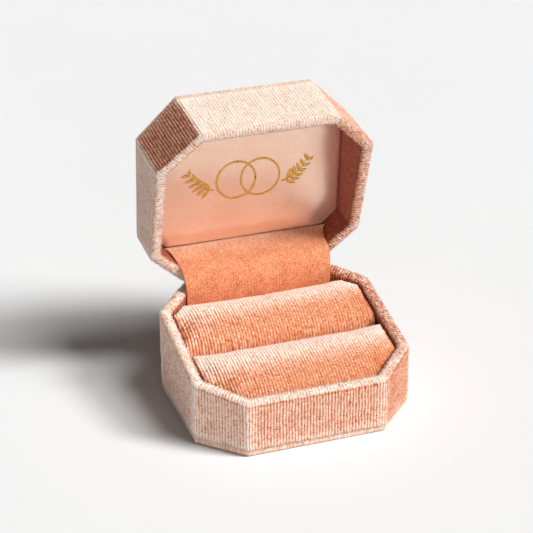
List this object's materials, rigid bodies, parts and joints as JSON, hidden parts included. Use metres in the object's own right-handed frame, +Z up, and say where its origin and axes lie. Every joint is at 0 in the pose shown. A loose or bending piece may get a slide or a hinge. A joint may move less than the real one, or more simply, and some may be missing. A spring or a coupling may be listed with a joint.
{
  "type": "ring box",
  "caption": "Octagonal velvet-covered ring box with a sloping parting line, snap-hinged lid standing open, slotted ring pads and a satin-lined lid.",
  "frame": {"origin": "centre of the flat underside that the box rests on", "axes": "+Z up, +X to the right seen from the front, +Y towards the hinge at the back; the lid stands open at rest"},
  "size_m": [0.065, 0.0683, 0.0841],
  "materials": {
    "outer_velvet": "needle-ribbed velvet, pale peach with an orange ground",
    "pad_velvet": "needle-ribbed velvet, peach orange",
    "satin": "pale pink satin, soft gloss",
    "shell_plastic": "moulded, unpainted",
    "card": "uncoated grey-brown card",
    "foam": "open-cell foam and wadding",
    "steel": "nickel-plated sheet steel",
    "gold_foil": "hot-stamped metallic foil"
  },
  "bodies": {
    "base": {"foot_velvet": "outer_velvet", "foot_board": "card", "base_shell": "shell_plastic", "base_velvet": "outer_velvet", "pad_card": "card", "front_pad_foam": "foam", "front_pad_velvet": "pad_velvet", "rear_pad_foam": "foam", "rear_pad_velvet": "pad_velvet", "hinge_lower_leaf": "steel", "hinge_pin": "steel", "lower_rivet_left": "steel", "lower_rivet_right": "steel", "snap_spring": "steel", "hinge_flap": "pad_velvet"},
    "lid": {"lid_top_velvet": "outer_velvet", "lid_top_board": "card", "lid_shell": "shell_plastic", "lid_velvet": "outer_velvet", "liner_board": "card", "liner_wadding": "foam", "liner_satin": "satin", "hinge_upper_leaf": "steel", "upper_rivet_left": "steel", "upper_rivet_right": "steel"}
  },
  "joints": [
    {"name": "lid_hinge", "type": "hinge", "parent": "base", "child": "lid", "pos_m": [0, 0.0265, 0.02877], "axis": [1, 0, 0], "range_deg": [0, 84.5], "deforming": ["snap_spring", "hinge_flap"]}
  ]
}
